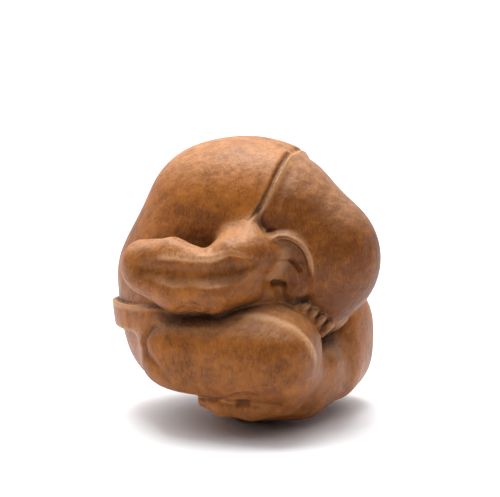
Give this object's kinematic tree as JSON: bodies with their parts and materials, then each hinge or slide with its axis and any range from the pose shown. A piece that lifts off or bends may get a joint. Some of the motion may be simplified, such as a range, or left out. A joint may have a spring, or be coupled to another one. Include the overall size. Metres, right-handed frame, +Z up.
{
  "type": "buddha figurine",
  "caption": "Palm-sized carved wooden figure of a seated monk, curled up cross-legged with its bald head bowed into its hands.",
  "frame": {"origin": "on the ground, at the centre of the figure's box", "axes": "+Z up, the figure faces -Y, its right side is -X"},
  "size_m": [0.0698, 0.0763, 0.078],
  "materials": {
    "wood": "warm brown hardwood, hand-carved, waxed to a satin shine, with fine dark pores"
  },
  "bodies": {
    "root": {"carved_figure": "wood"}
  },
  "joints": []
}
